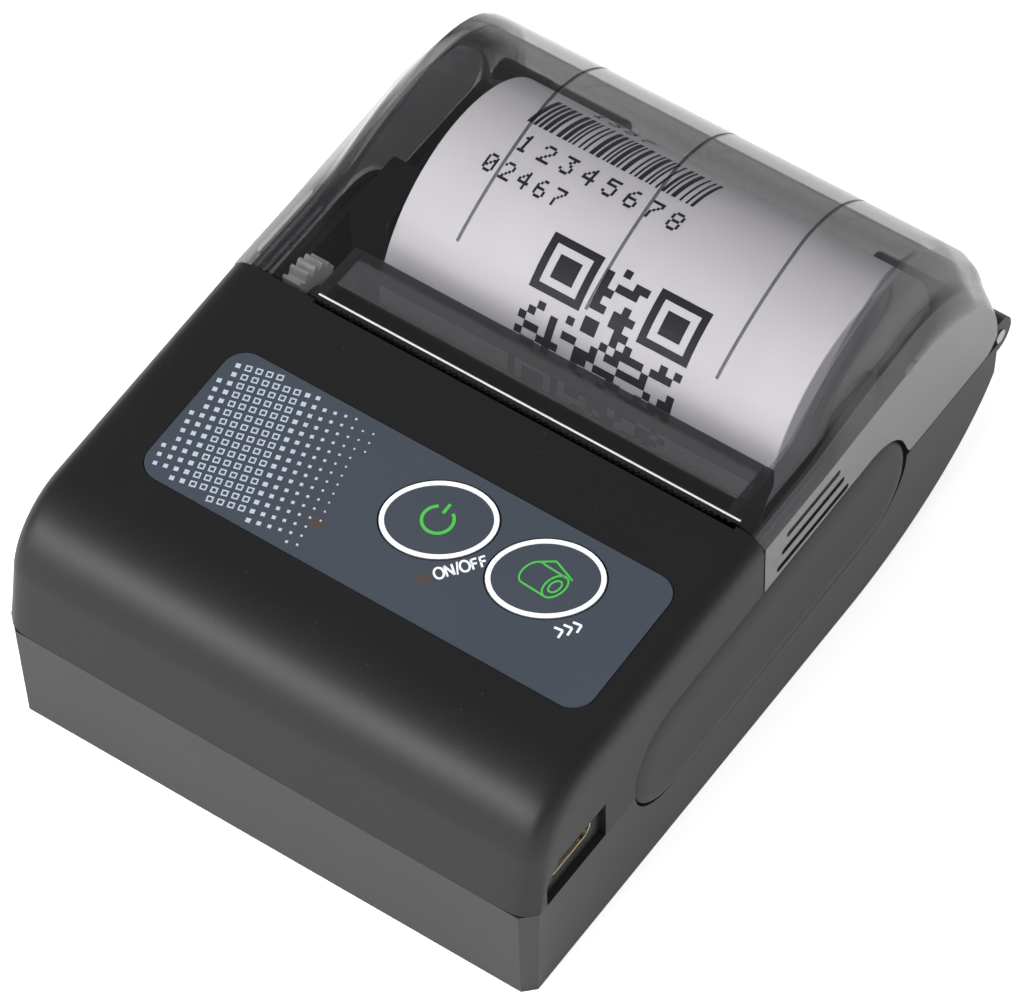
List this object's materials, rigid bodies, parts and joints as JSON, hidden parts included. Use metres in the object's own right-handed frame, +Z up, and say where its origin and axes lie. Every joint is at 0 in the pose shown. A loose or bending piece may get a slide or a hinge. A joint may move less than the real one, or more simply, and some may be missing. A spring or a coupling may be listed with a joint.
{
  "type": "portable receipt printer",
  "caption": "Pocket thermal receipt printer with a smoked hinged paper cover, a paper roll inside, two oval keys and a side charging socket.",
  "frame": {"origin": "centre of the bounding box at the underside that the printer rests on", "axes": "+X across the paper to the side with the charging socket, +Y from the front face to the hinge, +Z up"},
  "size_m": [0.0788, 0.1068, 0.0473],
  "materials": {
    "casing": "fine moulded grain",
    "bucket": "satin",
    "frame": "satin",
    "smoked_cover": "polished smoked polycarbonate",
    "overlay": "printed film",
    "keys": "printed film over a round cap",
    "light_rods": "clear",
    "grips": "matte",
    "port_shell": "drawn",
    "head": "satin",
    "spring_wire": "drawn",
    "blade": "polished edge",
    "motor_can": "plated",
    "pinion": "cut",
    "gears": "moulded",
    "pins": "ground",
    "board": "solder mask",
    "components": "moulded",
    "switches": "moulded",
    "battery": "film wrap",
    "contacts": "plated",
    "screws": "blackened",
    "cable": "flat film",
    "bushes": "moulded",
    "roller": "ground",
    "shaft": "ground",
    "paper": "smooth thermal paper",
    "core": "plastic tube"
  },
  "bodies": {
    "casing": {"bottom_casing": "casing", "top_casing": "casing", "roll_bucket": "bucket", "printer_frame": "frame", "control_overlay": "overlay", "status_lights": "light_rods", "side_grip_left": "grips", "side_grip_right": "grips", "usb_port": "port_shell", "head_springs": "spring_wire", "feed_motor": "motor_can", "gear_pins": "pins", "main_board": "board", "board_components": "components", "key_switches": "switches", "battery_pack": "battery", "battery_contacts": "contacts", "case_screws": "screws", "inner_screws": "screws", "hinge_pin": "pins", "paper_sensor": "components", "head_flat_cable": "cable", "paper_tail": "paper"},
    "cover": {"paper_cover": "smoked_cover", "platen_bushes": "bushes", "tear_blade": "blade"},
    "platen": {"platen_roller": "roller", "platen_shaft": "shaft", "platen_gear": "gears"},
    "power_key": {"power_key": "keys"},
    "feed_key": {"feed_key": "keys"},
    "print_head": {"print_head": "head"},
    "motor_pinion": {"motor_pinion": "pinion"},
    "reduction_gear": {"reduction_gear": "gears"},
    "idler_gear": {"idler_gear": "gears"},
    "paper_roll": {"paper_roll": "paper", "roll_core": "core"},
    "battery_door": {"battery_door": "casing"}
  },
  "joints": [
    {"name": "cover_hinge", "type": "hinge", "parent": "casing", "child": "cover", "pos_m": [0, 0.05075, 0.0186], "axis": [-1, 0, 0], "range_deg": [0, 100]},
    {"name": "platen_spin", "type": "hinge", "parent": "cover", "child": "platen", "pos_m": [0, -0.00029, 0.0302], "axis": [1, 0, 0], "continuous": true},
    {"name": "idler_spin", "type": "hinge", "parent": "casing", "child": "idler_gear", "pos_m": [0, -0.00029, 0.0197], "axis": [1, 0, 0], "continuous": true},
    {"name": "reduction_spin", "type": "hinge", "parent": "casing", "child": "reduction_gear", "pos_m": [0, -0.00921, 0.02089], "axis": [1, 0, 0], "continuous": true},
    {"name": "motor_spin", "type": "hinge", "parent": "casing", "child": "motor_pinion", "pos_m": [0, -0.00371, 0.01136], "axis": [1, 0, 0], "continuous": true},
    {"name": "roll_spin", "type": "hinge", "parent": "casing", "child": "paper_roll", "pos_m": [0, 0.02605, 0.0245], "axis": [1, 0, 0], "continuous": true},
    {"name": "head_rock", "type": "hinge", "parent": "casing", "child": "print_head", "pos_m": [0, -0.00616, 0.0252], "axis": [1, 0, 0], "range_deg": [0, 1.5], "stiffness_Nm_per_rad": 0.3, "springref_deg": -5.73},
    {"name": "battery_door_hinge", "type": "hinge", "parent": "casing", "child": "battery_door", "pos_m": [0, -0.0137, 0], "axis": [1, 0, 0], "range_deg": [0, 70]},
    {"name": "power_key_press", "type": "slide", "parent": "casing", "child": "power_key", "axis": [0, 0.0553, -0.9985], "range_m": [0, 0.0004], "stiffness_N_per_m": 1500},
    {"name": "feed_key_press", "type": "slide", "parent": "casing", "child": "feed_key", "axis": [0, 0.0553, -0.9985], "range_m": [0, 0.0004], "stiffness_N_per_m": 1500}
  ],
  "couplings": [
    {"joint": "idler_spin", "follows": "platen_spin", "ratio": -0.90909},
    {"joint": "reduction_spin", "follows": "platen_spin", "ratio": 1.4286},
    {"joint": "motor_spin", "follows": "platen_spin", "ratio": -3.8095}
  ]
}
